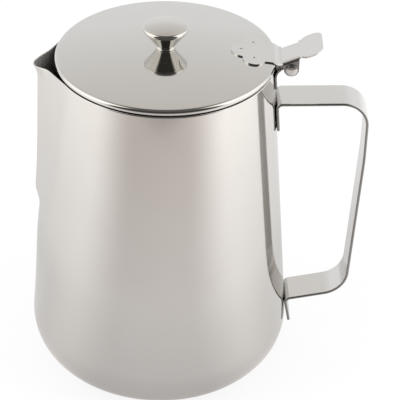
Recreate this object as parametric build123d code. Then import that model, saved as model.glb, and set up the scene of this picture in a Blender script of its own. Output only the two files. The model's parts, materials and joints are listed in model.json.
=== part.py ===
from build123d import *
import os
from math import acos, asin, atan2, cos, degrees, hypot, radians, sin, sqrt, tan

# Hot milk jug with a hinged lid, pressed and bent from stainless steel sheet.
# The origin is the middle of the flat base, +Z is up, the handle points to +X,
# the spout to -X, and the hinge pin lies along Y.

# Jug body: one deep-drawn shell, a cone that widens downwards to a round base corner
rim_radius = 56.0
body_height = 181.0
body_wall = 0.8
wall_taper = 4.85
base_corner_radius = 26.0

# Spout: a V pressed out of the wall, tangent to it on both sides. Its ridge stands upright,
# fades into the wall at the toe, and turns out to a pouring lip
spout_ridge_projection = 9.6
spout_foot_projection = 3.5
spout_length = 77.0
spout_toe_length = 11.0
spout_tip_radius = 3.0
spout_fade_angle = 5.0
lip_depth = 9.0
lip_flare = 2.0
lip_dip = 3.5
toe_steps = 4
lip_steps = 3

# Lid: a shallow dome with its edge curled under, which rests on the inner edge of the rim.
# The hinge holds it a little towards the handle and lifts it a little on that side
lid_sheet = 0.8
lid_rise = 3.4
lid_lean = 0.5
lid_shift = 0.8
curl_radius = 1.8
seat_angle = 66.2
seat_clearance = 0.3

# Knob: a turned mushroom, held from below by a screw and a washer
knob_radius = 11.6
knob_height = 13.6
knob_foot_radius = 5.2
knob_neck_radius = 4.5
knob_neck_height = 2.6
knob_rim_thickness = 3.0
knob_crown = 1.3
screw_diameter = 4.0
screw_length = 9.0
screw_head_diameter = 7.6
screw_head_height = 2.2
screw_slot_width = 1.0
screw_slot_depth = 1.0
screw_hole_clearance = 0.1
screw_end_gap = 1.0
washer_diameter = 11.0
washer_thickness = 0.8

# Hinge: a pin through two ears of the thumb lever and the curled knuckle of the bracket
pin_offset = 8.2
pin_height_over_rim = 0.2
pin_diameter = 3.0
pin_running_clearance = 0.05
pin_head_diameter = 6.0
pin_head_height = 1.5
knuckle_wall = 1.0
knuckle_side_clearance = 0.3
ear_radius = 3.8
ear_root_reach = 4.6
bracket_sheet = 1.0
bracket_leg_drop = 12.5
bracket_bend_drop = 2.7
bracket_bend_radius = 6.0

# Thumb lever: one blank of sheet, spot-welded to the lid by its three-lobed leaf
lever_sheet = 0.9
lever_width = 17.0
lever_fold_radius = 2.0
lever_edge_bend_inset = 8.3
lever_bend_inset = 5.8
lever_edge_bend_radius = 2.3
lever_bend_radius = 2.7
lever_drop = 1.45
lever_rise_angle = 23.5
lever_root_half_width = 9.8
leaf_length = 30.5
leaf_tip_radius = 6.6
leaf_lobe_setback = 11.5
leaf_lobe_radius = 5.8
leaf_lobe_spread = 7.8
leaf_press = 0.15
tab_length = 15.4
tab_root_inset = 10.9
tab_half_width = 10.6
tab_corner_radius = 4.6
weld_tip_setback = 5.1
weld_mark_diameter = 2.6
weld_mark_depth = 0.2

# Handle: one flat strap bent to a loop, with both ends turned down and welded to the wall
strap_width = 19.3
strap_thickness = 1.5
strap_below_bracket = 7.9
strap_top_rise = 1.5
strap_projection = 48.9
strap_bow_drop = 32.6
strap_heel_inset = 4.2
strap_heel_rise = 7.1
strap_low_height = 36.8
upper_leg_length = 15.3
lower_leg_length = 14.1
lower_leg_splay = 6.0
lower_weld_drop = 2.0
leg_bend_radius = 2.6
grip_top_radius = 13.0
grip_bow_radius = 200.0
grip_heel_radius = 15.0
weld_press = 0.3

taper = radians(wall_taper)
slope = tan(taper)
corner_top = base_corner_radius * (1 + sin(taper))
corner_centre = rim_radius + (body_height - corner_top) * slope - base_corner_radius * cos(taper)
rim_inner_radius = rim_radius - body_wall / cos(taper)
spout_foot_height = body_height - spout_length
lip_foot_height = body_height - lip_depth


def cap_arc(radius, height, rise):
    """The half outline of a shallow round cap, from its edge up to the axis."""
    ball = (radius**2 + rise**2) / (2 * rise)
    half = asin(radius / ball) / 2
    middle = (ball * sin(half), height + rise - ball * (1 - cos(half)))
    return ThreePointArc((radius, height), middle, (0, height + rise))


def wall_radius(height):
    """Outer radius of the jug at a height, on the cone or on the base corner."""
    if height >= corner_top:
        return rim_radius + (body_height - height) * slope
    return corner_centre + sqrt(base_corner_radius**2 - (base_corner_radius - height) ** 2)


def side_face(*edges):
    """A face drawn as (x, z) in the plane of the handle."""
    return Plane.XZ * make_face(Wire(edges))


def across(face, width):
    """A side face drawn out to a width that lies evenly about the plane of the handle."""
    return extrude(face, width / 2, both=True)


def strip(points, radii, thickness, width):
    """A strip of sheet bent along (x, z) points, with its middle on them."""
    path = FilletPolyline(*points, radius=radii)
    return across(Plane.XZ * trace(path, thickness), width)


def spout_reach(height):
    """How far out the spout's two flanks would meet at a height, before the tip is rounded."""
    foot_reach = wall_radius(spout_foot_height) + spout_foot_projection
    if height < spout_foot_height:
        faded = wall_radius(height) / cos(radians(spout_fade_angle))
        share = 1 - (spout_foot_height - height) / spout_toe_length
        return faded + (foot_reach - faded) * share**2 * (3 - 2 * share)
    ridge_share = (height - spout_foot_height) / (lip_foot_height - spout_foot_height)
    ridge = foot_reach + (rim_radius + spout_ridge_projection - foot_reach) * ridge_share
    return ridge + lip_flare * max(0, (height - lip_foot_height) / lip_depth) ** 2


def cone_section(height, inset):
    """The jug's outline at a height: its circle and the two flanks of the spout, tangent to it."""
    flank = acos(wall_radius(height) / spout_reach(height))
    radius = wall_radius(height) - inset / cos(taper)
    tip = spout_tip_radius - inset
    tip_centre = -(radius - tip) / cos(flank)
    root = (-radius * cos(flank), radius * sin(flank))
    turn = (tip_centre - tip * cos(flank), tip * sin(flank))
    edges = [
        ThreePointArc((radius, 0), (radius * sin(flank / 2), radius * cos(flank / 2)), root),
        Line(root, turn),
        ThreePointArc(turn, (tip_centre - tip, 0), (turn[0], -turn[1])),
        Line((turn[0], -turn[1]), (root[0], -root[1])),
        ThreePointArc((root[0], -root[1]), (radius * sin(flank / 2), -radius * cos(flank / 2)), (radius, 0)),
    ]
    return Pos(0, 0, height) * make_face(Wire(edges))


def body_form(inset, top):
    """The jug's solid form, drawn in by a wall thickness and carried up to a height."""
    toe = spout_foot_height - spout_toe_length
    corner = base_corner_radius - inset
    corner_angle = (taper - radians(90)) / 2
    edges = [
        Line((0, inset), (corner_centre, inset)),
        ThreePointArc(
            (corner_centre, inset),
            (
                corner_centre + corner * cos(corner_angle),
                base_corner_radius + corner * sin(corner_angle),
            ),
            (corner_centre + corner * cos(taper), base_corner_radius + corner * sin(taper)),
        ),
        Line(
            (corner_centre + corner * cos(taper), base_corner_radius + corner * sin(taper)),
            (wall_radius(toe) - inset / cos(taper), toe),
        ),
        Line((wall_radius(toe) - inset / cos(taper), toe), (0, toe)),
        Line((0, toe), (0, inset)),
    ]
    lower = revolve(Plane.XZ * make_face(Wire(edges)), Axis.Z)
    heights = [toe + spout_toe_length * step / toe_steps for step in range(toe_steps + 1)]
    heights += [lip_foot_height + (top - lip_foot_height) * step / lip_steps for step in range(lip_steps + 1)]
    return lower + loft([cone_section(height, inset) for height in heights], ruled=True)


body_solid = body_form(0, body_height)


def jug_body():
    over = body_wall * 5
    lip_reach = spout_reach(body_height)
    dip_start = rim_radius**2 / lip_reach
    dip_end = lip_reach + over
    dip_depth = lip_dip * (dip_end - dip_start) / (lip_reach - dip_start)
    dip = Polyline(
        (-dip_start, body_height),
        (-dip_end, body_height - dip_depth),
        (-dip_end, body_height + over),
        (-dip_start, body_height + over),
        close=True,
    )
    shell = body_solid - body_form(body_wall, body_height + over)
    return shell - across(side_face(*dip.edges()), 4 * rim_radius)


def handle():
    top = body_height - bracket_leg_drop - strap_below_bracket
    reach = rim_radius + strap_projection
    upper_end = top - upper_leg_length
    upper_seat = strap_thickness / 2 / cos(taper) - weld_press
    lean = taper + radians(lower_leg_splay)
    weld_x = wall_radius(strap_low_height - lower_weld_drop) - weld_press + strap_thickness / 2 / cos(lean)
    knee_x = weld_x - lower_weld_drop * tan(lean)
    points = [
        (wall_radius(upper_end) + upper_seat, upper_end),
        (wall_radius(top) + upper_seat, top),
        (reach, top + strap_top_rise),
        (reach, top - strap_bow_drop),
        (reach - strap_heel_inset, strap_low_height + strap_heel_rise),
        (knee_x, strap_low_height),
        (knee_x + lower_leg_length * tan(lean), strap_low_height - lower_leg_length),
    ]
    radii = [leg_bend_radius, grip_top_radius, grip_bow_radius, grip_heel_radius, leg_bend_radius]
    return strip(points, radii, strap_thickness, strap_width) - body_solid


pin_x = rim_radius + pin_offset
pin_z = body_height + pin_height_over_rim
knuckle_bore_radius = pin_diameter / 2 + pin_running_clearance
knuckle_radius = knuckle_bore_radius + knuckle_wall
knuckle_width = lever_width - 2 * (lever_sheet + knuckle_side_clearance)


def pin_bar(radius, width):
    return Pos(pin_x, 0, pin_z) * Rot(90, 0, 0) * Cylinder(radius, width)


def hinge_bracket():
    leg_end = body_height - bracket_leg_drop
    bend = body_height - bracket_bend_drop
    half = bracket_sheet / 2 - weld_press
    foot = (wall_radius(leg_end) + half, leg_end)
    knee = (wall_radius(bend) + half, bend)
    run = knuckle_radius - bracket_sheet / 2
    to_pin = (pin_x - knee[0], pin_z - knee[1])
    rise = atan2(to_pin[1], to_pin[0]) + asin(run / hypot(*to_pin))
    meet = (pin_x - run * sin(rise), pin_z + run * cos(rise))
    leaf = strip([foot, knee, meet], bracket_bend_radius, bracket_sheet, knuckle_width)
    knuckle = pin_bar(knuckle_radius, knuckle_width)
    bore = pin_bar(knuckle_bore_radius, knuckle_width + bracket_sheet)
    return leaf + knuckle - bore - body_solid


curl_x = rim_inner_radius - (curl_radius + seat_clearance) * cos(radians(seat_angle))
curl_z = body_height + (curl_radius + seat_clearance) * sin(radians(seat_angle))
dome_radius = (curl_x**2 + lid_rise**2 + 2 * lid_rise * curl_radius) / (2 * lid_rise)
lid_top = curl_z + curl_radius + lid_rise
dome_centre = lid_top - dome_radius
dome_half_angle = asin(curl_x / (dome_radius - curl_radius))
screw_hole_radius = screw_diameter / 2 + screw_hole_clearance
lid_place = Pos(lid_shift, 0, curl_z) * Rot(0, -lid_lean, 0) * Pos(0, 0, -curl_z)


def dome_height(radius, inset):
    return dome_centre + sqrt((dome_radius - inset) ** 2 - radius**2)


def dome_point(angle, inset):
    return ((dome_radius - inset) * sin(angle), dome_centre + (dome_radius - inset) * cos(angle))


def curl_point(angle, radius):
    return (curl_x + radius * cos(radians(angle)), curl_z + radius * sin(radians(angle)))


def lid():
    edge_angle = 90 - degrees(dome_half_angle)
    end_angle = -180
    middle_angle = (edge_angle + end_angle) / 2
    inner = curl_radius - lid_sheet
    half = dome_half_angle / 2
    hole_top = (screw_hole_radius, dome_height(screw_hole_radius, 0))
    hole_low = (screw_hole_radius, dome_height(screw_hole_radius, lid_sheet))
    edges = [
        ThreePointArc(hole_top, dome_point(half, 0), dome_point(dome_half_angle, 0)),
        ThreePointArc(
            dome_point(dome_half_angle, 0),
            curl_point(middle_angle, curl_radius),
            curl_point(end_angle, curl_radius),
        ),
        Line(curl_point(end_angle, curl_radius), curl_point(end_angle, inner)),
        ThreePointArc(
            curl_point(end_angle, inner),
            curl_point(middle_angle, inner),
            dome_point(dome_half_angle, lid_sheet),
        ),
        ThreePointArc(dome_point(dome_half_angle, lid_sheet), dome_point(half, lid_sheet), hole_low),
        Line(hole_low, hole_top),
    ]
    return lid_place * revolve(Plane.XZ * make_face(Wire(edges)), Axis.Z)


leaf_tip_x = pin_x - leaf_length
leaf_lobe_x = leaf_tip_x + leaf_lobe_setback


def lever_outline():
    """The lever's blank seen from above: leaf on the lid, neck, and thumb tab."""
    tip_x = leaf_tip_x + leaf_tip_radius
    root_x = pin_x - lever_edge_bend_inset
    ear_x = pin_x - ear_root_reach
    tab_x = pin_x + tab_length - tab_root_inset / 2
    half = lever_width / 2
    neck = Polyline(
        (tip_x, leaf_tip_radius),
        (leaf_lobe_x, lever_root_half_width),
        (root_x, lever_root_half_width),
        (ear_x, half),
        (tab_x, half),
        (tab_x, -half),
        (ear_x, -half),
        (root_x, -lever_root_half_width),
        (leaf_lobe_x, -lever_root_half_width),
        (tip_x, -leaf_tip_radius),
        close=True,
    )
    outline = make_face(neck) + Pos(tip_x, 0) * Circle(leaf_tip_radius)
    outline += Pos(tab_x, 0) * RectangleRounded(tab_root_inset, 2 * tab_half_width, tab_corner_radius)
    for side in (1, -1):
        outline += Pos(leaf_lobe_x, side * leaf_lobe_spread) * Circle(leaf_lobe_radius)
    return outline


lever_bend_x = pin_x - lever_bend_inset
leaf_slope = asin((leaf_lobe_x - lid_shift) / dome_radius) - radians(lid_lean)


def leaf_line(x):
    """Height of the leaf's middle plane, on the lid and out to the bend."""
    lifted = (leaf_lobe_x - lid_shift) * tan(radians(lid_lean))
    touch = dome_height(leaf_lobe_x - lid_shift, 0) + lifted - leaf_press + lever_sheet / 2 / cos(leaf_slope)
    return touch - (x - leaf_lobe_x) * tan(leaf_slope)


def thumb_lever():
    rise_angle = radians(lever_rise_angle)
    bend_z = leaf_line(lever_bend_x) - lever_drop
    edge_bend_x = pin_x - lever_edge_bend_inset
    start_x = leaf_tip_x - lever_sheet
    end_x = pin_x + tab_length + lever_sheet
    points = [
        (start_x, leaf_line(start_x)),
        (edge_bend_x, leaf_line(edge_bend_x)),
        (lever_bend_x, bend_z),
        (end_x, bend_z + (end_x - lever_bend_x) * tan(rise_angle)),
    ]
    full_width = 4 * lever_root_half_width
    sheet = strip(points, [lever_edge_bend_radius, lever_bend_radius], lever_sheet, full_width)
    blank = sheet & extrude(Pos(0, 0, body_height) * lever_outline(), body_height)

    root_x = pin_x - ear_root_reach
    ear_end_x = pin_x + ear_radius
    root_z = bend_z + (root_x - lever_bend_x) * tan(rise_angle)
    end_z = bend_z + (ear_end_x - lever_bend_x) * tan(rise_angle)
    to_root = (root_x - pin_x, root_z - pin_z)
    touch = atan2(to_root[1], to_root[0]) + acos(ear_radius / hypot(*to_root))
    ear_touch = (pin_x + ear_radius * cos(touch), pin_z + ear_radius * sin(touch))
    ear_side = side_face(
        Line(ear_touch, (root_x, root_z)),
        Line((root_x, root_z), (ear_end_x, end_z)),
        Line((ear_end_x, end_z), (ear_end_x, pin_z)),
        ThreePointArc((ear_end_x, pin_z), (pin_x, pin_z - ear_radius), ear_touch),
    )
    ears = across(ear_side, lever_width) - across(ear_side, lever_width - 2 * lever_sheet)
    lever = blank + ears - lid()

    fold_x = (root_x + ear_end_x) / 2
    fold_z = (root_z + end_z + lever_sheet / cos(rise_angle)) / 2
    fold = Pos(-lever_fold_radius, -lever_fold_radius) * (
        Rectangle(2 * lever_fold_radius, 2 * lever_fold_radius, align=Align.MIN) - Circle(lever_fold_radius)
    )
    corner = Plane((fold_x, lever_width / 2, fold_z), (0, 1, 0), (cos(rise_angle), 0, sin(rise_angle)))
    rounding = extrude(corner * fold, (ear_end_x - root_x) / 2 / cos(rise_angle), both=True)
    lever -= rounding + mirror(rounding, Plane.XZ)
    lever -= pin_bar(pin_diameter / 2, 2 * lever_width)

    marks = [(leaf_tip_x + weld_tip_setback, 0)]
    marks += [(leaf_lobe_x, side * leaf_lobe_spread) for side in (1, -1)]
    for x, y in marks:
        top = leaf_line(x) + lever_sheet / 2 / cos(leaf_slope)
        mark = Cylinder(weld_mark_diameter / 2, 2 * weld_mark_depth)
        lever -= Pos(x, y, top) * Rot(0, degrees(leaf_slope), 0) * mark
    return lever


def hinge_pin():
    radius = pin_diameter / 2
    head = pin_head_diameter / 2
    half = lever_width / 2
    end = half + pin_head_height
    edges = [
        Line((0, 0), (radius, 0)),
        Line((radius, 0), (radius, half)),
        Line((radius, half), (head, half)),
        cap_arc(head, half, pin_head_height),
        Line((0, end), (0, 0)),
    ]
    half_pin = revolve(Plane.XZ * make_face(Wire(edges)), Axis.Z)
    whole = half_pin + mirror(half_pin, Plane.XY)
    return Pos(pin_x, 0, pin_z) * Rot(90, 0, 0) * whole


def knob():
    rim = knob_rim_thickness / 2
    shoulder = knob_height - knob_crown - rim
    hole_depth = screw_length - lid_sheet - washer_thickness + screw_end_gap
    neck = (knob_neck_radius, knob_neck_height)
    under = (knob_radius - rim, shoulder - rim)
    flare_middle = (
        knob_neck_radius + (under[0] - neck[0]) * (1 - cos(radians(45))),
        neck[1] + (under[1] - neck[1]) * sin(radians(45)),
    )
    foot_middle = ((knob_foot_radius + 3 * knob_neck_radius) / 4, knob_neck_height / 2)
    edges = [
        Line((screw_hole_radius, 0), (knob_foot_radius, 0)),
        ThreePointArc((knob_foot_radius, 0), foot_middle, neck),
        ThreePointArc(neck, flare_middle, under),
        ThreePointArc(under, (knob_radius, shoulder), (knob_radius - rim, shoulder + rim)),
        cap_arc(knob_radius - rim, shoulder + rim, knob_crown),
        Line((0, knob_height), (0, hole_depth)),
        Line((0, hole_depth), (screw_hole_radius, hole_depth)),
        Line((screw_hole_radius, hole_depth), (screw_hole_radius, 0)),
    ]
    turned = revolve(Plane.XZ * make_face(Wire(edges)), Axis.Z)
    return lid_place * Pos(0, 0, lid_top) * turned


washer_top = dome_height(washer_diameter / 2, lid_sheet)


def knob_washer():
    ring = Circle(washer_diameter / 2) - Circle(screw_hole_radius)
    return lid_place * extrude(Pos(0, 0, washer_top - washer_thickness) * ring, washer_thickness)


def knob_screw():
    seat = washer_top - washer_thickness
    half_head = screw_head_diameter / 2
    edges = [
        Line((0, screw_length), (screw_diameter / 2, screw_length)),
        Line((screw_diameter / 2, screw_length), (screw_diameter / 2, 0)),
        Line((screw_diameter / 2, 0), (half_head, 0)),
        ThreePointArc(
            (half_head, 0),
            (half_head * sin(radians(60)), -screw_head_height * sin(radians(60))),
            (half_head / 2, -screw_head_height),
        ),
        Line((half_head / 2, -screw_head_height), (0, -screw_head_height)),
        Line((0, -screw_head_height), (0, screw_length)),
    ]
    turned = revolve(Plane.XZ * make_face(Wire(edges)), Axis.Z)
    slot = Box(screw_slot_width, screw_head_diameter, 2 * screw_slot_depth)
    turned -= Pos(0, 0, -screw_head_height) * slot
    return lid_place * Pos(0, 0, seat) * turned


os.makedirs("parts", exist_ok=True)
for piece in (
    jug_body,
    handle,
    hinge_bracket,
    lid,
    thumb_lever,
    hinge_pin,
    knob,
    knob_washer,
    knob_screw,
):
    export_step(piece(), f"parts/{piece.__name__}.step")
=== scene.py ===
import json
from math import acos, asin, atan2, cos, exp, hypot, pi, radians, sin, sqrt, tan

import bmesh
import bpy
from mathutils import Matrix, Vector


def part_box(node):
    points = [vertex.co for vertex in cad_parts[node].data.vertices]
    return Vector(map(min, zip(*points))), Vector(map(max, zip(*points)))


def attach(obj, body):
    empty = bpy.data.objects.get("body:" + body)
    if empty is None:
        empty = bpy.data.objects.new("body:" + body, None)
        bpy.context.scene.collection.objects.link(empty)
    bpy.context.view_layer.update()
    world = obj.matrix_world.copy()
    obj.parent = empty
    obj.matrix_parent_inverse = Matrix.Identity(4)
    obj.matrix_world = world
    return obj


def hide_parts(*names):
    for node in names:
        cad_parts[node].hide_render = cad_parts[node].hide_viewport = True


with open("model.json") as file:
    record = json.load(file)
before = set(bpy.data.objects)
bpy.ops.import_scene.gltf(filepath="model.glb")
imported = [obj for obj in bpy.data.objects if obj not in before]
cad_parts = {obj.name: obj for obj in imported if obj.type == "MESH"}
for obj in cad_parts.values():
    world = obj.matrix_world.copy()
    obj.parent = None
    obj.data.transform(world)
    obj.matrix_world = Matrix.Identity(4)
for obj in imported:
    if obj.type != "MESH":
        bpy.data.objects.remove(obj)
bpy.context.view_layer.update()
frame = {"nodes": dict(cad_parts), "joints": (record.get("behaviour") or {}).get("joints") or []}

# Jug body. One deep-drawn shell of stainless sheet with a flat base, a wide base corner and a wall
# that narrows to the rim. A V spout is pressed out of the wall, with a broad pouring lip and a faint
# swell under its toe. The outside is buffed to a soft mirror, and the inside is left satin.
body_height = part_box("jug_body")[1].z
widest_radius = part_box("jug_body")[1].y
jug_sheet = 0.0008
wall_taper = radians(4.85)
base_corner = 0.026
spout_ridge_projection = 0.0086
spout_foot_projection = 0.0035
spout_length = 0.077
spout_toe_length = 0.013
spout_tip_radius = 0.003
lip_tip_radius = 0.0065
lip_depth = 0.011
lip_flare = 0.0031
lip_flare_depth = 0.008
lip_flare_angle = radians(6.8)
lip_dip = 0.0034
swell = 0.0014
swell_height = 0.082
swell_length = 0.028
swell_angle = radians(38)
corner_centre = widest_radius - base_corner
corner_top = base_corner * (1 + sin(wall_taper))
spout_foot = body_height - spout_length
lip_foot = body_height - lip_depth


def ease(share):
    """A smooth step from 0 to 1."""
    share = min(1, max(0, share))
    return share * share * (3 - 2 * share)


def wall_radius(height):
    """Outer radius of the plain wall at a height."""
    return corner_centre + base_corner * cos(wall_taper) - (height - corner_top) * tan(wall_taper)


rim_radius = wall_radius(body_height)


def ridge_reach(height):
    """How far out the two flanks of the spout would meet at a height."""
    foot_reach = wall_radius(spout_foot) + spout_foot_projection
    share = (height - spout_foot) / (lip_foot - spout_foot)
    straight = foot_reach + (rim_radius + spout_ridge_projection - foot_reach) * share
    risen = ease(1 + (height - spout_foot) / spout_toe_length)
    return wall_radius(height) + (straight - wall_radius(height)) * risen


def jug_radius(angle, height, inset):
    """Distance from the axis to the shell at an angle from the spout, drawn in by an inset."""
    angle = abs(angle)
    radius = wall_radius(height) - inset
    flank = acos(min(1, wall_radius(height) / ridge_reach(height)))
    turned_out = max(0, 1 - (body_height - lip_dip - height) / lip_flare_depth) ** 2
    tip = spout_tip_radius + (lip_tip_radius - spout_tip_radius) * turned_out - inset
    tip_centre = (radius - tip) / cos(flank)
    turn = atan2(tip * sin(flank), tip_centre + tip * cos(flank))
    if angle < turn:
        reach = tip_centre * cos(angle) + sqrt(max(0, tip**2 - (tip_centre * sin(angle)) ** 2))
    else:
        reach = radius / cos(max(0, flank - angle))
    lip = lip_flare * turned_out * exp(-((angle / lip_flare_angle) ** 3))
    swell_off = ((height - swell_height) / swell_length) ** 2 + (angle / swell_angle) ** 2
    return reach + lip + swell * exp(-swell_off)


def rim_height(angle):
    """The rim's height, level all round and dipping towards the pouring lip."""
    lip_reach = jug_radius(0, body_height, 0)
    dip_start = rim_radius**2 / ridge_reach(body_height)
    out = jug_radius(angle, body_height, 0) * cos(angle)
    return body_height - lip_dip * max(0, (out - dip_start) / (lip_reach - dip_start))


around = 320
crowding = 0.22
shares = [2 * step / around - 1 for step in range(around)]
jug_angles = [pi * (crowding * share + (1 - crowding) * share**3) for share in shares]
wall_rows = 110
rim_hold = 0.998
inner_rows = 60
corner_rows = 18
rim_rows = 6


def corner_row(step, inset):
    turn = (wall_taper + pi / 2) * step / corner_rows - pi / 2
    radius = corner_centre + (base_corner - inset) * cos(turn)
    height = base_corner + (base_corner - inset) * sin(turn)
    return [(radius, height)] * around


def wall_row(share, inset, lift):
    points = []
    for angle in jug_angles:
        top = rim_height(angle) - jug_sheet / 2
        height = corner_top + share * (top - corner_top)
        points.append((jug_radius(angle, height, inset), height + lift))
    return points


base_shares = (0.35, 0.7, 0.9)
rings = [[(corner_centre * share, 0)] * around for share in base_shares]
rings += [corner_row(step, 0) for step in range(corner_rows)]
rings += [wall_row(step / wall_rows, 0, 0) for step in range(wall_rows)]
rings += [wall_row(share, 0, 0) for share in (rim_hold, 1)]
for step in range(1, rim_rows):
    turn = pi * step / rim_rows
    rings.append(wall_row(1, jug_sheet / 2 * (1 - cos(turn)), jug_sheet / 2 * sin(turn)))
inside_starts = len(rings)
rings += [wall_row(1 - step / inner_rows, jug_sheet, 0) for step in range(inner_rows + 1)]
rings += [corner_row(step, jug_sheet) for step in reversed(range(corner_rows))]
rings += [[(corner_centre * share, jug_sheet)] * around for share in reversed(base_shares)]


def shell_mesh(name, rings, angles, low_pole, high_pole):
    """A closed skin through rings of (radius, height), ended by a point on the axis at each end."""
    count = len(angles)
    points = [(0, 0, low_pole)]
    for ring in rings:
        points += [(r * cos(a), r * sin(a), z) for (r, z), a in zip(ring, angles)]
    points.append((0, 0, high_pole))
    last = len(points) - 1
    faces = []
    for here in range(count):
        after = (here + 1) % count
        faces.append((0, 1 + after, 1 + here))
        for row in range(len(rings) - 1):
            low = 1 + row * count
            faces.append((low + here, low + after, low + count + after, low + count + here))
        top = 1 + (len(rings) - 1) * count
        faces.append((top + here, top + after, last))
    mesh = bpy.data.meshes.new(name)
    mesh.from_pydata(points, [], faces)
    mesh.shade_smooth()
    return mesh


def add_piece(name, mesh, body, slot, *nodes):
    """Puts a finished mesh in the scene as the piece that stands for CAD nodes."""
    piece = bpy.data.objects.new(name, mesh)
    bpy.context.scene.collection.objects.link(piece)
    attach(piece, body)
    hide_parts(*nodes)
    return piece


def steel(name, colour, warm, roughness, wander, grain, waves, axis_grain=False):
    """Stainless steel with buffing lines, faint smears, a slow change of tint and slightly wavy sheet.

    grain stretches the buffing lines along X, Y and Z, or round the Z axis and along it."""
    material = bpy.data.materials.new(name)
    material.use_nodes = True
    nodes = material.node_tree.nodes
    links = material.node_tree.links
    shader = nodes["Principled BSDF"]
    shader.inputs["Metallic"].default_value = 1
    place = nodes.new("ShaderNodeTexCoord").outputs["Object"]
    lines_place = place
    if axis_grain:
        split = nodes.new("ShaderNodeSeparateXYZ")
        links.new(place, split.inputs[0])
        turn = nodes.new("ShaderNodeMath")
        turn.operation = "ARCTAN2"
        links.new(split.outputs["Y"], turn.inputs[0])
        links.new(split.outputs["X"], turn.inputs[1])
        size = nodes.new("ShaderNodeVectorMath")
        size.operation = "LENGTH"
        links.new(place, size.inputs[0])
        join = nodes.new("ShaderNodeCombineXYZ")
        links.new(turn.outputs[0], join.inputs["X"])
        links.new(size.outputs["Value"], join.inputs["Y"])
        links.new(split.outputs["Z"], join.inputs["Z"])
        lines_place = join.outputs[0]
    stretch = nodes.new("ShaderNodeMapping")
    stretch.inputs["Scale"].default_value = grain
    links.new(lines_place, stretch.inputs["Vector"])
    lines = nodes.new("ShaderNodeTexNoise")
    lines.inputs["Scale"].default_value = 1
    lines.inputs["Detail"].default_value = 4
    links.new(stretch.outputs[0], lines.inputs["Vector"])
    smears = nodes.new("ShaderNodeTexNoise")
    smears.inputs["Scale"].default_value = 45
    smears.inputs["Detail"].default_value = 3
    links.new(place, smears.inputs["Vector"])
    tint = nodes.new("ShaderNodeMix")
    tint.data_type = "RGBA"
    tint.inputs["A"].default_value = (*colour, 1)
    tint.inputs["B"].default_value = (*warm, 1)
    links.new(smears.outputs["Fac"], tint.inputs["Factor"])
    links.new(tint.outputs["Result"], shader.inputs["Base Color"])
    both = nodes.new("ShaderNodeMath")
    both.operation = "MULTIPLY"
    links.new(lines.outputs["Fac"], both.inputs[0])
    links.new(smears.outputs["Fac"], both.inputs[1])
    polish = nodes.new("ShaderNodeMapRange")
    polish.inputs["From Min"].default_value = 0.1
    polish.inputs["From Max"].default_value = 0.45
    polish.inputs["To Min"].default_value = roughness
    polish.inputs["To Max"].default_value = roughness + wander
    links.new(both.outputs[0], polish.inputs["Value"])
    links.new(polish.outputs[0], shader.inputs["Roughness"])
    ripple = nodes.new("ShaderNodeTexNoise")
    ripple.inputs["Scale"].default_value = 28
    ripple.inputs["Detail"].default_value = 1
    links.new(place, ripple.inputs["Vector"])
    wavy = nodes.new("ShaderNodeBump")
    wavy.inputs["Strength"].default_value = 1
    wavy.inputs["Distance"].default_value = waves
    links.new(ripple.outputs["Fac"], wavy.inputs["Height"])
    scored = nodes.new("ShaderNodeBump")
    scored.inputs["Strength"].default_value = 0.1
    scored.inputs["Distance"].default_value = 0.00001
    links.new(lines.outputs["Fac"], scored.inputs["Height"])
    links.new(wavy.outputs[0], scored.inputs["Normal"])
    links.new(scored.outputs[0], shader.inputs["Normal"])
    return material


jug_mesh = shell_mesh("jug_body_shell", rings, [pi + angle for angle in jug_angles], 0, jug_sheet)
jug_mesh.materials.append(
    steel(
        "jug_outside",
        (0.62, 0.612, 0.597),
        (0.6, 0.585, 0.565),
        roughness=0.07,
        wander=0.05,
        grain=(60, 40, 900),
        waves=0.00006,
        axis_grain=True,
    )
)
satin = steel(
    "jug_inside",
    (0.6, 0.59, 0.575),
    (0.54, 0.53, 0.515),
    roughness=0.5,
    wander=0.12,
    grain=(160, 40, 3000),
    waves=0.00004,
    axis_grain=True,
)
satin.node_tree.nodes["Principled BSDF"].inputs["Metallic"].default_value = 0.6
jug_mesh.materials.append(satin)
faces_per_column = len(rings) + 1
for face in jug_mesh.polygons:
    face.material_index = 1 if face.index % faces_per_column > inside_starts else 0
add_piece("jug_body_shell", jug_mesh, "jug", "body_steel", "jug_body")

# Handle. One flat strap of 1.5 mm stainless, bent on a former to a loop with a slight bow in the
# grip. Both ends are turned down and spot-welded to the wall. Its cut edges are left dull, and their
# darker colour is painted shade.
strap_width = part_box("handle")[1].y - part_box("handle")[0].y
strap_sheet = 0.0015
strap_edge = 0.0007
strap_drop = 0.0204
strap_top = body_height - strap_drop
strap_top_rise = 0.0015
strap_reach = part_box("handle")[1].x - strap_sheet / 2
strap_bow_drop = 0.0326
strap_heel_inset = 0.0042
strap_heel_rise = 0.0071
strap_low = 0.0368
upper_leg_length = 0.0153
lower_leg_length = 0.0141
lower_leg_spread = radians(6)
lower_leg_lean = wall_taper + lower_leg_spread
lower_weld_drop = 0.002
leg_bend = 0.0026
grip_top_bend = 0.013
grip_bow_bend = 0.2
grip_heel_bend = 0.015
weld_press = 0.0003
strap_end_edge = 0.0002
strip_end_angle = 50


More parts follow.
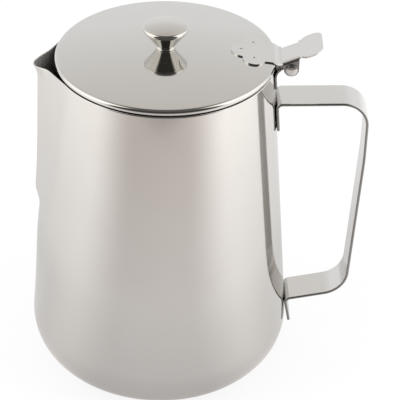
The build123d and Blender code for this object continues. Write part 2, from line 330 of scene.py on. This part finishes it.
def strip_tree():
    """Geometry nodes that bend a strip of sheet along a line, with a bend radius at each point."""
    tree = bpy.data.node_groups.new("bent_strip", "GeometryNodeTree")
    face = tree.interface
    face.new_socket("Geometry", in_out="INPUT", socket_type="NodeSocketGeometry")
    for name in ("Width", "Thickness", "Edge Radius"):
        face.new_socket(name, in_out="INPUT", socket_type="NodeSocketFloat")
    face.new_socket("Steel", in_out="INPUT", socket_type="NodeSocketMaterial")
    face.new_socket("Geometry", in_out="OUTPUT", socket_type="NodeSocketGeometry")
    nodes = tree.nodes
    links = tree.links
    given = nodes.new("NodeGroupInput")
    made = nodes.new("NodeGroupOutput")
    line = nodes.new("GeometryNodeMeshToCurve")
    links.new(given.outputs["Geometry"], line.inputs["Mesh"])
    bend = nodes.new("GeometryNodeInputNamedAttribute")
    bend.data_type = "FLOAT"
    bend.inputs["Name"].default_value = "bend"
    path = nodes.new("GeometryNodeFilletCurve")
    path.mode = "POLY"
    path.inputs["Count"].default_value = 24
    links.new(line.outputs["Curve"], path.inputs["Curve"])
    links.new(bend.outputs["Attribute"], path.inputs["Radius"])
    level = nodes.new("GeometryNodeSetCurveNormal")
    level.mode = "FREE"
    level.inputs["Normal"].default_value = (0, 1, 0)
    links.new(path.outputs["Curve"], level.inputs["Curve"])
    section = nodes.new("GeometryNodeCurvePrimitiveQuadrilateral")
    links.new(given.outputs["Width"], section.inputs["Width"])
    links.new(given.outputs["Thickness"], section.inputs["Height"])
    eased = nodes.new("GeometryNodeFilletCurve")
    eased.mode = "POLY"
    eased.inputs["Count"].default_value = 5
    links.new(section.outputs["Curve"], eased.inputs["Curve"])
    links.new(given.outputs["Edge Radius"], eased.inputs["Radius"])
    swept = nodes.new("GeometryNodeCurveToMesh")
    swept.inputs["Fill Caps"].default_value = True
    links.new(level.outputs["Curve"], swept.inputs["Curve"])
    links.new(eased.outputs["Curve"], swept.inputs["Profile Curve"])
    real = nodes.new("GeometryNodeRealizeInstances")
    links.new(swept.outputs["Mesh"], real.inputs["Geometry"])
    finish = nodes.new("GeometryNodeSetMaterial")
    links.new(real.outputs["Geometry"], finish.inputs["Geometry"])
    links.new(given.outputs["Steel"], finish.inputs["Material"])
    links.new(finish.outputs["Geometry"], made.inputs["Geometry"])
    return tree


bent_strip = strip_tree()


def strip_mesh(name, points, bends, width, thickness, edge, material):
    """The plain mesh of a strip bent along (x, z) points in the plane of the handle."""
    line = bpy.data.meshes.new(name + "_line")
    line.from_pydata([(x, 0, z) for x, z in points], [(i, i + 1) for i in range(len(points) - 1)], [])
    line.attributes.new("bend", "FLOAT", "POINT").data.foreach_set("value", bends)
    guide = bpy.data.objects.new(name + "_line", line)
    bpy.context.scene.collection.objects.link(guide)
    modifier = guide.modifiers.new("strip", "NODES")
    modifier.node_group = bent_strip
    values = {"Width": width, "Thickness": thickness, "Edge Radius": edge, "Steel": material}
    for item in bent_strip.interface.items_tree:
        if item.in_out == "INPUT" and item.name in values:
            modifier[item.identifier] = values[item.name]
    shown = guide.evaluated_get(bpy.context.evaluated_depsgraph_get())
    mesh = bpy.data.meshes.new_from_object(shown)
    guide.modifiers.clear()
    bpy.data.objects.remove(guide)
    mesh.name = name
    mesh.shade_smooth()
    return mesh


def paint_shaded_steel(mesh, is_shaded):
    """Gives chosen faces a duller steel: the roughness is the cut sheet's own, and the darker colour is
    painted shade.
    """
    mesh.materials.append(cut_edge_shaded_steel)
    for face in mesh.polygons:
        if is_shaded(face):
            face.material_index = len(mesh.materials) - 1


def ease_edges(piece, width, angle):
    """Rounds a piece's sharp edges and keeps its flat faces flat."""
    bevel = piece.modifiers.new("edges", "BEVEL")
    bevel.width = width
    bevel.segments = 3
    bevel.limit_method = "ANGLE"
    bevel.angle_limit = radians(angle)
    flat = piece.modifiers.new("flats", "WEIGHTED_NORMAL")
    flat.weight = 100
    flat.keep_sharp = True


strap_steel = steel(
    "strap_steel",
    (0.68, 0.674, 0.66),
    (0.65, 0.642, 0.627),
    roughness=0.1,
    wander=0.06,
    grain=(90, 1800, 90),
    waves=0.00002,
)
# Cut edges are rougher in truth. Their colour, about half as bright as the sheet, is painted shade.
cut_edge_shaded_steel = steel(
    "cut_edge_shaded_steel",
    (0.3, 0.293, 0.283),
    (0.24, 0.233, 0.224),
    roughness=0.3,
    wander=0.15,
    grain=(1500, 200, 1500),
    waves=0.00001,
)
edge_facing = 0.55
upper_end = strap_top - upper_leg_length
upper_seat = strap_sheet / 2 / cos(wall_taper) - weld_press
weld_x = wall_radius(strap_low - lower_weld_drop) - weld_press + strap_sheet / 2 / cos(lower_leg_lean)
knee_x = weld_x - lower_weld_drop * tan(lower_leg_lean)
strap_line = [
    (wall_radius(upper_end) + upper_seat, upper_end),
    (wall_radius(strap_top) + upper_seat, strap_top),
    (strap_reach, strap_top + strap_top_rise),
    (strap_reach, strap_top - strap_bow_drop),
    (strap_reach - strap_heel_inset, strap_low + strap_heel_rise),
    (knee_x, strap_low),
    (knee_x + lower_leg_length * tan(lower_leg_lean), strap_low - lower_leg_length),
]
strap_bends = [0, leg_bend, grip_top_bend, grip_bow_bend, grip_heel_bend, leg_bend, 0]
strap_mesh = strip_mesh(
    "handle_strap", strap_line, strap_bends, strap_width, strap_sheet, strap_edge, strap_steel
)
# The strap's cut edges get the rougher steel, darkened by painted shade.
paint_shaded_steel(strap_mesh, lambda face: abs(face.normal.y) > edge_facing)
strap = add_piece("handle_strap", strap_mesh, "jug", "strap_steel", "handle")
ease_edges(strap, strap_end_edge, strip_end_angle)

# Hinge bracket. A strip of 1 mm stainless whose leg is spot-welded to the wall under the rim. It
# turns out past the rim, and its end is curled round the hinge pin as the knuckle.
pin_x, pin_y, pin_z = frame["joints"][0]["pos_m"]
bracket_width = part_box("hinge_bracket")[1].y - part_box("hinge_bracket")[0].y
bracket_sheet = 0.001
bracket_edge = 0.00025
bracket_end_edge = 0.00015
bracket_leg_drop = 0.0125
bracket_bend_drop = 0.0027
bracket_bend = 0.006
pin_radius = 0.0015
pin_running_clearance = 0.00005
knuckle_turn = radians(318)
knuckle_steps = 44
curl = pin_radius + pin_running_clearance + bracket_sheet / 2
seat = bracket_sheet / 2 - weld_press
bracket_foot = (wall_radius(body_height - bracket_leg_drop) + seat, body_height - bracket_leg_drop)
bracket_knee = (wall_radius(body_height - bracket_bend_drop) + seat, body_height - bracket_bend_drop)
across_x = pin_x - bracket_knee[0]
across_z = pin_z - bracket_knee[1]
bracket_rise = atan2(across_z, across_x) + asin(curl / hypot(across_x, across_z))
bracket_line = [bracket_foot, bracket_knee]
for step in range(knuckle_steps + 1):
    turn = pi / 2 + bracket_rise - knuckle_turn * step / knuckle_steps
    bracket_line.append((pin_x + curl * cos(turn), pin_z + curl * sin(turn)))
bracket_bends = [0, bracket_bend] + [0] * (knuckle_steps + 1)
bracket_steel = steel(
    "bracket_steel",
    (0.6, 0.592, 0.578),
    (0.56, 0.55, 0.535),
    roughness=0.14,
    wander=0.08,
    grain=(200, 2400, 200),
    waves=0.00001,
)
bracket_mesh = strip_mesh(
    "bracket_strip", bracket_line, bracket_bends, bracket_width, bracket_sheet, bracket_edge, bracket_steel
)
# The bracket's cut edges get the rougher steel, darkened by painted shade.
paint_shaded_steel(bracket_mesh, lambda face: abs(face.normal.y) > edge_facing)
bracket = add_piece("bracket_strip", bracket_mesh, "jug", "bracket_steel", "hinge_bracket")
ease_edges(bracket, bracket_end_edge, strip_end_angle)

# Lid. A shallow dome spun and pressed from 0.8 mm stainless, with its edge curled under to a round
# bead that rests on the rim. Its top is mirror-polished, with faint rings from the buffing wheel.
lid_sheet = 0.0008
lid_rise = 0.0034
lid_lean = radians(0.75)
lid_shift = 0.0008
curl_radius = 0.0018
seat_angle = radians(66.2)
seat_clearance = 0.0003
seat_reach = curl_radius + seat_clearance
screw_hole = 0.0021
dome_steps = 40
bead_steps = 40
inner_bead_steps = 28
inner_dome_steps = 30
lid_around = 256
curl_x = rim_radius - jug_sheet / cos(wall_taper) - seat_reach * cos(seat_angle)
curl_z = body_height + seat_reach * sin(seat_angle)
lid_top = curl_z + curl_radius + lid_rise
dome_radius = (curl_x**2 + lid_rise**2 + 2 * lid_rise * curl_radius) / (2 * lid_rise)
dome_centre = lid_top - dome_radius
dome_angle = asin(curl_x / (dome_radius - curl_radius))
lid_place = (
    Matrix.Translation((lid_shift, 0, curl_z))
    @ Matrix.Rotation(-lid_lean, 4, "Y")
    @ Matrix.Translation((0, 0, -curl_z))
)


def arc(centre, radius, start, end, steps):
    """Points on an arc from one angle to another, both ends included."""
    turns = [start + (end - start) * step / steps for step in range(steps + 1)]
    return [(centre[0] + radius * cos(turn), centre[1] + radius * sin(turn)) for turn in turns]


def turned_mesh(name, outline, steps):
    """A solid of revolution about Z from a closed outline of (radius, height) points."""
    shape = bmesh.new()
    line = [shape.verts.new((radius, 0, height)) for radius, height in outline]
    edges = [shape.edges.new((line[i - 1], line[i])) for i in range(len(line))]
    bmesh.ops.spin(
        shape, geom=line + edges, cent=(0, 0, 0), axis=(0, 0, 1), angle=2 * pi, steps=steps, use_merge=True
    )
    bmesh.ops.remove_doubles(shape, verts=shape.verts, dist=1e-7)
    bmesh.ops.dissolve_degenerate(shape, edges=shape.edges, dist=1e-8)
    bmesh.ops.recalc_face_normals(shape, faces=shape.faces)
    mesh = bpy.data.meshes.new(name)
    shape.to_mesh(mesh)
    shape.free()
    mesh.shade_smooth()
    return mesh


def dome_arc(inset, start, end, steps):
    return arc((0, dome_centre), dome_radius - inset, pi / 2 - start, pi / 2 - end, steps)


hole_angle = asin(screw_hole / dome_radius)
lid_outline = dome_arc(0, hole_angle, dome_angle, dome_steps)
bead_start = pi / 2 - dome_angle
lid_outline += arc((curl_x, curl_z), curl_radius, bead_start, -pi, bead_steps)[1:]
lid_outline += arc((curl_x, curl_z), curl_radius - lid_sheet, -pi, bead_start, inner_bead_steps)
lid_outline += dome_arc(lid_sheet, dome_angle, hole_angle, inner_dome_steps)[1:]
lid_mesh = turned_mesh("lid_shell", lid_outline, lid_around)
lid_mesh.transform(lid_place)
lid_mesh.materials.append(
    steel(
        "lid_steel",
        (0.625, 0.618, 0.602),
        (0.605, 0.596, 0.578),
        roughness=0.05,
        wander=0.05,
        grain=(3, 900, 3),
        waves=0.00003,
        axis_grain=True,
    )
)
add_piece("lid_shell", lid_mesh, "lid", "lid_steel", "lid")

# Thumb lever. One stamped blank of 0.9 mm stainless: a three-lobed leaf spot-welded to the lid, two
# ears folded down over the pin, and a tab for the thumb. Its edges are tumbled, and the ears get the
# dull steel whose darker colour is painted shade.
blank_edge = 0.00012
blank_edge_angle = 35
blank_flatness = radians(0.5)
ear_reach = 0.0062


def stamped_copy(name, node, width, body, slot, material):
    """A stamped piece with the CAD node's own shape and its cut edges rounded."""
    shape = bmesh.new()
    shape.from_mesh(frame["nodes"][node].data)
    bmesh.ops.remove_doubles(shape, verts=shape.verts, dist=1e-6)
    bmesh.ops.dissolve_limit(
        shape, angle_limit=blank_flatness, use_dissolve_boundaries=False, verts=shape.verts, edges=shape.edges
    )
    mesh = bpy.data.meshes.new(name)
    shape.to_mesh(mesh)
    shape.free()
    mesh.materials.clear()
    mesh.materials.append(material)
    if "custom_normal" in mesh.attributes:
        mesh.attributes.remove(mesh.attributes["custom_normal"])
    mesh.shade_smooth()
    piece = add_piece(name, mesh, body, slot, node)
    ease_edges(piece, width, blank_edge_angle)
    return piece


lever_steel = steel(
    "lever_steel",
    (0.67, 0.664, 0.65),
    (0.64, 0.632, 0.617),
    roughness=0.1,
    wander=0.06,
    grain=(120, 1500, 120),
    waves=0.00001,
)
lever = stamped_copy("lever_blank", "thumb_lever", blank_edge, "lid", "lever_steel", lever_steel)
# The ear faces near the pin get the darker steel as painted shade.
paint_shaded_steel(
    lever.data,
    lambda face: abs(face.normal.y) > edge_facing
    and hypot(face.center.x - pin_x, face.center.z - pin_z) < ear_reach,
)

# Hinge pin. A plain stainless pin through the ears and the knuckle, with both ends riveted over to
# low domed heads.
pin_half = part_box("hinge_pin")[1].y
pin_head_radius = (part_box("hinge_pin")[1].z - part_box("hinge_pin")[0].z) / 2
pin_head_height = 0.0015
pin_head_dome = 0.0006
pin_edge = 0.0001
pin_edge_angle = 40
pin_head_steps = 14
pin_around = 64
head_ball = (pin_head_radius**2 + pin_head_dome**2) / (2 * pin_head_dome)
head_turn = asin(pin_head_radius / head_ball)
pin_side = arc((0, pin_half - head_ball), head_ball, pi / 2, pi / 2 - head_turn, pin_head_steps)
pin_side += [(pin_head_radius, pin_half - pin_head_height), (pin_radius, pin_half - pin_head_height)]
pin_outline = pin_side + [(radius, -height) for radius, height in reversed(pin_side)]
pin_mesh = turned_mesh("pin_turned", pin_outline, pin_around)
pin_mesh.transform(Matrix.Translation((pin_x, pin_y, pin_z)) @ Matrix.Rotation(pi / 2, 4, "X"))
pin_mesh.materials.append(
    steel(
        "pin_steel",
        (0.62, 0.612, 0.597),
        (0.58, 0.57, 0.555),
        roughness=0.08,
        wander=0.05,
        grain=(800, 800, 800),
        waves=0.000004,
    )
)
pin = add_piece("pin_turned", pin_mesh, "lid", "pin_steel", "hinge_pin")
ease_edges(pin, pin_edge, pin_edge_angle)

# Knob. A mushroom turned from stainless bar: a small foot on the lid, a waist, a conical underside, a
# round rim and a low crown. It is polished on the lathe, and a blind hole takes the screw.
knob_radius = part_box("knob")[1].y
knob_height = 0.01359
knob_foot = 0.0052
knob_waist = 0.0046
knob_waist_height = 0.0009
knob_foot_edge = 0.0003
knob_rim = 0.0015
knob_crown = 0.0013
knob_hole_depth = 0.0084
cone_meets_rim = radians(50)
cone_hollow = 1.06
foot_steps = 10
cone_steps = 24
knob_rim_steps = 24
crown_steps = 20
knob_around = 128
shoulder = knob_height - knob_crown - knob_rim
under = knob_radius - knob_rim
cone_width = under + knob_rim * cos(cone_meets_rim) - knob_waist
cone_height = shoulder - knob_rim * sin(cone_meets_rim) - knob_waist_height
crown_ball = (under**2 + knob_crown**2) / (2 * knob_crown)
crown_turn = asin(under / crown_ball)
knob_outline = [(screw_hole, 0), (knob_foot - knob_foot_edge, 0), (knob_foot, knob_foot_edge)]
for step in range(1, foot_steps):
    share = step / foot_steps
    waist_in = (knob_foot - knob_waist) * sin(share * pi / 2)
    foot_height = knob_foot_edge + (knob_waist_height - knob_foot_edge) * share
    knob_outline.append((knob_foot - waist_in, foot_height))
for step in range(cone_steps):
    share = step / cone_steps
    cone_radius = knob_waist + cone_width * share**cone_hollow
    knob_outline.append((cone_radius, knob_waist_height + cone_height * share))
knob_outline += arc((under, shoulder), knob_rim, -cone_meets_rim, pi / 2, knob_rim_steps)
crown_centre = (0, knob_height - crown_ball)
knob_outline += arc(crown_centre, crown_ball, pi / 2 - crown_turn, pi / 2, crown_steps)[1:]
knob_outline += [(0, knob_hole_depth), (screw_hole, knob_hole_depth)]
knob_mesh = turned_mesh("knob_turned", knob_outline, knob_around)
knob_mesh.transform(lid_place @ Matrix.Translation((0, 0, lid_top)))
knob_mesh.materials.append(
    steel(
        "knob_steel",
        (0.63, 0.62, 0.6),
        (0.6, 0.588, 0.565),
        roughness=0.04,
        wander=0.03,
        grain=(3, 2500, 3),
        waves=0.000004,
        axis_grain=True,
    )
)
add_piece("knob_turned", knob_mesh, "lid", "knob_steel", "knob")

# Knob fixing. A plain washer and a slotted cheese-head screw, both bright steel, that hold the knob
# from under the lid.
fixing_steel = steel(
    "fixing_steel",
    (0.56, 0.552, 0.54),
    (0.5, 0.49, 0.475),
    roughness=0.2,
    wander=0.1,
    grain=(600, 600, 600),
    waves=0.000004,
)
for name, node in (("washer_ring", "knob_washer"), ("screw_slotted", "knob_screw")):
    stamped_copy(name, node, blank_edge, "lid", "fixing_steel", fixing_steel)

# Studio. A white floor under soft light, bright on both sides, with a white wall behind and a dark
# ceiling and room behind the camera, which polished steel mirrors. The floor keeps the jug's shadow.
floor_radius = 6
floor_steps = 64
light_turn = radians(2.5)
near_floor = 0.15
far_floor = 0.45
table_end = -0.56
table_start = -0.46
past_table = (0.07, 0.067, 0.063, 1)
paper_white = (0.9, 0.9, 0.9, 1)
foot_shade_reach = (0.06, 0.2)
foot_shade_level = 0.76
window_reach = 0.15
window_levels = (0.99, 1.1)
seen_level = 0.85
mirror_level = 0.8
upper_room = (0.38, 0.8)
ceiling_rise = (0.8, 0.95)
ceiling_colour = (0.16, 0.155, 0.15, 1)
softbox_size = (0.7, 0.9)
softbox_power = 6
softbox_place = (1.1, -0.35, 0.75)
softbox_aim = Vector((0, 0, 0.1))


def new_node(tree, kind, operation=None, **values):
    """A shader node with its operation and plain input values set."""
    node = tree.nodes.new(kind)
    if operation:
        node.operation = operation
    for name, value in values.items():
        node.inputs[int(name[1:])].default_value = value
    return node


def chain(tree, *sockets):
    """Links output to input, pair by pair."""
    for source, target in zip(sockets[::2], sockets[1::2]):
        tree.links.new(source, target)


def blend_steps(tree, value, stops):
    """A colour ramp over a value from 0 to 1."""
    ramp = tree.nodes.new("ShaderNodeValToRGB")
    ramp.color_ramp.interpolation = "EASE"
    while len(ramp.color_ramp.elements) < len(stops):
        ramp.color_ramp.elements.new(0.5)
    for element, (position, colour) in zip(ramp.color_ramp.elements, stops):
        element.position = position
        element.color = (*colour, 1)
    tree.links.new(value, ramp.inputs["Fac"])
    return ramp.outputs["Color"]


def side_angle(tree, place, offset=0):
    """The angle away from the camera's side, 0 in front of the jug and 1 behind it."""
    split = new_node(tree, "ShaderNodeSeparateXYZ")
    front = new_node(tree, "ShaderNodeMath", "MULTIPLY", _1=-1)
    turn = new_node(tree, "ShaderNodeMath", "ARCTAN2")
    moved = new_node(tree, "ShaderNodeMath", "ADD", _1=offset)
    size = new_node(tree, "ShaderNodeMath", "ABSOLUTE")
    share = new_node(tree, "ShaderNodeMath", "DIVIDE", _1=pi)
    chain(tree, place, split.inputs[0], split.outputs["Y"], front.inputs[0])
    chain(tree, split.outputs["X"], turn.inputs[0], front.outputs[0], turn.inputs[1])
    chain(tree, turn.outputs[0], moved.inputs[0], moved.outputs[0], size.inputs[0])
    chain(tree, size.outputs[0], share.inputs[0])
    return share.outputs[0], split.outputs["Z"]


floor_shape = bmesh.new()
bmesh.ops.create_circle(floor_shape, cap_ends=True, radius=floor_radius, segments=floor_steps)
floor_mesh = bpy.data.meshes.new("floor")
floor_shape.to_mesh(floor_mesh)
floor_shape.free()
floor = bpy.data.objects.new("floor", floor_mesh)
bpy.context.scene.collection.objects.link(floor)
floor_paper = bpy.data.materials.new("floor_paper")
floor_paper.use_nodes = True
floor_mesh.materials.append(floor_paper)
paper = floor_paper.node_tree
paper.nodes.remove(paper.nodes["Principled BSDF"])
paper_out = paper.nodes["Material Output"]
paper_place = paper.nodes.new("ShaderNodeTexCoord").outputs["Object"]
paper_side = side_angle(paper, paper_place, light_turn)[0]
# What polished steel mirrors of the floor is a glowing painted pattern: painted light, bright on both sides
# and darker in front and behind.
far_light = blend_steps(
    paper,
    paper_side,
    [
        (0.13, (0.66, 0.58, 0.535)),
        (0.37, (1.42, 1.37, 1.32)),
        (0.52, (1.42, 1.38, 1.33)),
        (0.66, (1.22, 1.19, 1.16)),
        (0.9, (0.94, 0.94, 0.94)),
    ],
)
near_light = blend_steps(
    paper,
    paper_side,
    [
        (0.14, (0.77, 0.735, 0.72)),
        (0.38, (1.05, 1.01, 0.99)),
        (0.55, (0.95, 0.93, 0.91)),
        (0.8, (0.7, 0.69, 0.68)),
    ],
)
paper_distance = new_node(paper, "ShaderNodeVectorMath", "LENGTH")
away = new_node(paper, "ShaderNodeMapRange", _1=near_floor, _2=far_floor)
light_mix = paper.nodes.new("ShaderNodeMix")
light_mix.data_type = "RGBA"
chain(paper, paper_place, paper_distance.inputs[0], paper_distance.outputs["Value"], away.inputs[0])
chain(paper, away.outputs[0], light_mix.inputs["Factor"])
chain(paper, near_light, light_mix.inputs["A"], far_light, light_mix.inputs["B"])
paper_split = new_node(paper, "ShaderNodeSeparateXYZ")
table_edge = new_node(paper, "ShaderNodeMapRange", _1=table_end, _2=table_start)
table_mix = paper.nodes.new("ShaderNodeMix")
table_mix.data_type = "RGBA"
table_mix.inputs["A"].default_value = past_table
chain(paper, paper_place, paper_split.inputs[0], paper_split.outputs["Y"], table_edge.inputs[0])
chain(paper, table_edge.outputs[0], table_mix.inputs["Factor"])
# Painted shadow: the mirrored floor darkens towards the jug's foot.
foot_shade = new_node(
    paper, "ShaderNodeMapRange", _1=foot_shade_reach[0], _2=foot_shade_reach[1], _3=foot_shade_level, _4=1
)
# Painted light: the mirrored floor grows brighter towards +X.
window_side = new_node(
    paper, "ShaderNodeMapRange", _1=-window_reach, _2=window_reach, _3=window_levels[0], _4=window_levels[1]
)
level = new_node(paper, "ShaderNodeMath", "MULTIPLY")
lit = new_node(paper, "ShaderNodeVectorMath", "SCALE")
chain(paper, paper_distance.outputs["Value"], foot_shade.inputs[0], foot_shade.outputs[0], level.inputs[0])
chain(paper, paper_split.outputs["X"], window_side.inputs[0], window_side.outputs[0], level.inputs[1])
chain(paper, light_mix.outputs["Result"], lit.inputs[0], level.outputs[0], lit.inputs["Scale"])
chain(paper, lit.outputs[0], table_mix.inputs["B"])
# The floor glows with this painted light and shadow only for glossy rays.
painted_floor_glow = new_node(paper, "ShaderNodeEmission")
chain(paper, table_mix.outputs["Result"], painted_floor_glow.inputs["Color"])
white = new_node(paper, "ShaderNodeEmission", _0=(1, 1, 1, 1), _1=1)
matt = new_node(paper, "ShaderNodeBsdfDiffuse", _0=paper_white)
path = paper.nodes.new("ShaderNodeLightPath")
seen = new_node(paper, "ShaderNodeMath", "MAXIMUM")
seen_share = new_node(paper, "ShaderNodeMath", "MULTIPLY", _1=seen_level)
mirror_share = new_node(paper, "ShaderNodeMath", "MULTIPLY", _1=mirror_level)
seen_mix = paper.nodes.new("ShaderNodeMixShader")
mirror_mix = paper.nodes.new("ShaderNodeMixShader")
chain(paper, path.outputs["Is Camera Ray"], seen.inputs[0])
chain(paper, path.outputs["Is Transmission Ray"], seen.inputs[1])
chain(paper, seen.outputs[0], seen_share.inputs[0], seen_share.outputs[0], seen_mix.inputs[0])
chain(paper, matt.outputs[0], seen_mix.inputs[1], white.outputs[0], seen_mix.inputs[2])
chain(paper, path.outputs["Is Glossy Ray"], mirror_share.inputs[0])
chain(paper, mirror_share.outputs[0], mirror_mix.inputs[0])
chain(paper, seen_mix.outputs[0], mirror_mix.inputs[1], painted_floor_glow.outputs[0], mirror_mix.inputs[2])
chain(paper, mirror_mix.outputs[0], paper_out.inputs["Surface"])

studio = bpy.data.worlds.new("studio")
bpy.context.scene.world = studio
studio.use_nodes = True
room = studio.node_tree
room_light = room.nodes["Background"]
room_place = room.nodes.new("ShaderNodeTexCoord").outputs["Generated"]
room_side, room_up = side_angle(room, room_place)
low_room = blend_steps(
    room,
    room_side,
    [
        (0.28, (0.06, 0.058, 0.055)),
        (0.36, (1.9, 1.86, 1.79)),
        (0.6, (1.6, 1.57, 1.52)),
        (0.7, (1, 1, 1)),
    ],
)
high_room = blend_steps(
    room,
    room_side,
    [
        (0.24, (0.12, 0.115, 0.11)),
        (0.34, (1.9, 1.8, 1.68)),
        (0.55, (1.5, 1.42, 1.34)),
        (0.72, (0.76, 0.715, 0.675)),
    ],
)
room_height = new_node(room, "ShaderNodeMapRange", _1=upper_room[0], _2=upper_room[1])
ceiling = new_node(room, "ShaderNodeMapRange", _1=ceiling_rise[0], _2=ceiling_rise[1])
ceiling_mix = room.nodes.new("ShaderNodeMix")
ceiling_mix.data_type = "RGBA"
ceiling_mix.inputs["B"].default_value = ceiling_colour
room_mix = room.nodes.new("ShaderNodeMix")
room_mix.data_type = "RGBA"
chain(room, room_up, room_height.inputs[0], room_height.outputs[0], room_mix.inputs["Factor"])
chain(room, low_room, room_mix.inputs["A"], high_room, room_mix.inputs["B"])
room_path = room.nodes.new("ShaderNodeLightPath")
mirror_room = room.nodes.new("ShaderNodeMix")
mirror_room.data_type = "RGBA"
mirror_room.inputs["A"].default_value = (1, 1, 1, 1)
chain(room, room_path.outputs["Is Glossy Ray"], mirror_room.inputs["Factor"])
chain(room, room_up, ceiling.inputs[0], ceiling.outputs[0], ceiling_mix.inputs["Factor"])
chain(room, room_mix.outputs["Result"], ceiling_mix.inputs["A"])
chain(room, ceiling_mix.outputs["Result"], mirror_room.inputs["B"])
chain(room, mirror_room.outputs["Result"], room_light.inputs["Color"])
room_light.inputs["Strength"].default_value = 1

for side in (-1, 1):
    softbox = bpy.data.lights.new("softbox", "AREA")
    softbox.shape = "RECTANGLE"
    softbox.size, softbox.size_y = softbox_size
    softbox.energy = softbox_power
    lamp = bpy.data.objects.new("softbox", softbox)
    lamp.location = (side * softbox_place[0], softbox_place[1], softbox_place[2])
    lamp.rotation_euler = (softbox_aim - lamp.location).to_track_quat("-Z", "Y").to_euler()
    lamp.visible_glossy = False
    bpy.context.scene.collection.objects.link(lamp)

# Camera. It looks down on the jug from the side, with the handle to the right, as in the photograph.
camera_aim = Vector((0.02054, 0, 0.09506))
camera_distance = 0.9958
camera_elevation = radians(34.38)
camera_azimuth = radians(-1.424)
camera_roll = radians(1.872)
lens_length = 168.39
sensor_width = 36
lens = bpy.data.cameras.new("camera")
lens.sensor_width = sensor_width
lens.lens = lens_length
camera = bpy.data.objects.new("camera", lens)
bpy.context.scene.collection.objects.link(camera)
bpy.context.scene.camera = camera
back = Vector(
    (
        sin(camera_azimuth) * cos(camera_elevation),
        -cos(camera_azimuth) * cos(camera_elevation),
        sin(camera_elevation),
    )
)
camera.location = camera_aim + back * camera_distance
camera.rotation_mode = "QUATERNION"
level_view = (-back).to_track_quat("-Z", "Y")
camera.rotation_quaternion = level_view @ Matrix.Rotation(camera_roll, 3, "Z").to_quaternion()
bpy.context.scene.view_settings.view_transform = "Standard"
